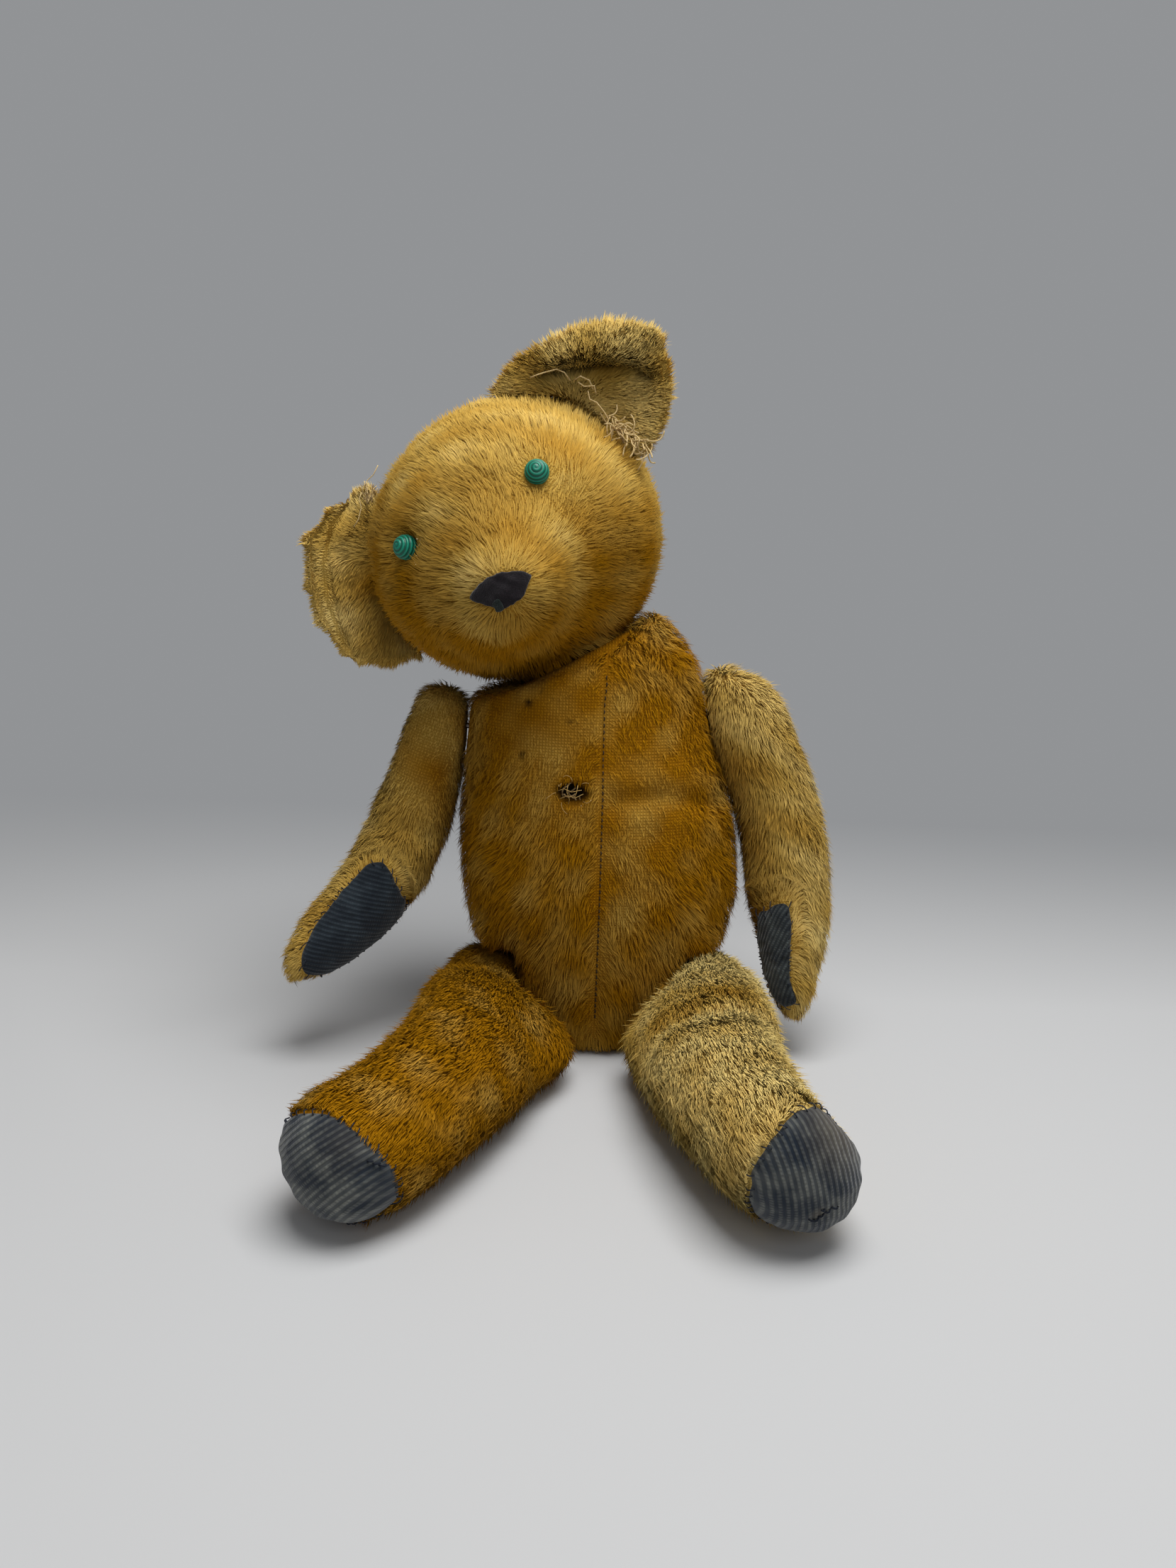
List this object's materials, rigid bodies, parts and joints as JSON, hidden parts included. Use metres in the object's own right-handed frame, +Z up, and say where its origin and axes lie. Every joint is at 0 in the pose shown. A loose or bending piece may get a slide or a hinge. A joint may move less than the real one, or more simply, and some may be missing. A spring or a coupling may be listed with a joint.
{
  "type": "teddy bear",
  "caption": "Seated disc-jointed mohair teddy bear with lolling head, denim paw and foot patches, bead eyes, felt nose and a worn hole in the chest.",
  "frame": {"origin": "middle of the flat seat under the body, on the floor", "axes": "+Z up, -Y the way the belly faces, +X towards the bear's left arm"},
  "size_m": [0.2948, 0.3107, 0.3809],
  "materials": {
    "mohair": "long pile, worn in places",
    "wood_wool": "packed fine wood shavings",
    "denim": "faded grey-blue twill",
    "dark_denim": "dark blue twill",
    "nose_felt": "dark purple-black felt",
    "nose_thread": "dark green-grey thread",
    "green_bead": "glossy, with a raised spiral",
    "hardboard": "pressed board",
    "steel": "plain"
  },
  "bodies": {
    "body": {"body_skin": "mohair", "body_stuffing": "wood_wool", "neck_pin": "steel", "neck_body_disc": "hardboard", "neck_body_washer": "steel", "right_shoulder_pin": "steel", "right_shoulder_body_disc": "hardboard", "right_shoulder_body_washer": "steel", "left_shoulder_pin": "steel", "left_shoulder_body_disc": "hardboard", "left_shoulder_body_washer": "steel", "right_hip_pin": "steel", "right_hip_body_disc": "hardboard", "right_hip_body_washer": "steel", "left_hip_pin": "steel", "left_hip_body_disc": "hardboard", "left_hip_body_washer": "steel"},
    "head": {"head_skin": "mohair", "head_stuffing": "wood_wool", "left_ear": "mohair", "right_ear": "mohair", "left_eye": "green_bead", "right_eye": "green_bead", "nose": "nose_felt", "nose_stitch": "nose_thread", "neck_head_disc": "hardboard", "neck_head_washer": "steel"},
    "right_arm": {"right_arm_skin": "mohair", "right_arm_stuffing": "wood_wool", "right_paw_pad": "dark_denim", "right_shoulder_arm_disc": "hardboard", "right_shoulder_arm_washer": "steel"},
    "left_arm": {"left_arm_skin": "mohair", "left_arm_stuffing": "wood_wool", "left_paw_pad": "denim", "left_shoulder_arm_disc": "hardboard", "left_shoulder_arm_washer": "steel"},
    "right_leg": {"right_leg_skin": "mohair", "right_leg_stuffing": "wood_wool", "right_foot_pad": "denim", "right_hip_leg_disc": "hardboard", "right_hip_leg_washer": "steel"},
    "left_leg": {"left_leg_skin": "mohair", "left_leg_stuffing": "wood_wool", "left_foot_pad": "denim", "left_hip_leg_disc": "hardboard", "left_hip_leg_washer": "steel"}
  },
  "joints": [
    {"name": "neck_turn", "type": "hinge", "parent": "body", "child": "head", "pos_m": [-0.015, 0, 0.2116], "axis": [-0.5, 0, 0.866], "range_deg": [-40, 40]},
    {"name": "right_shoulder_swing", "type": "hinge", "parent": "body", "child": "right_arm", "pos_m": [-0.0746, 0.001, 0.171], "axis": [-0.9986, 0, 0.0523], "range_deg": [-40, 80]},
    {"name": "left_shoulder_swing", "type": "hinge", "parent": "body", "child": "left_arm", "pos_m": [0.0546, 0.002, 0.184], "axis": [-0.9816, 0, -0.1908], "range_deg": [-40, 150]},
    {"name": "right_hip_swing", "type": "hinge", "parent": "body", "child": "right_leg", "pos_m": [-0.042, -0.012, 0.0262], "axis": [-1, 0, 0], "range_deg": [-95, 10]},
    {"name": "left_hip_swing", "type": "hinge", "parent": "body", "child": "left_leg", "pos_m": [0.042, -0.012, 0.0262], "axis": [-1, 0, 0], "range_deg": [-95, 5]}
  ]
}
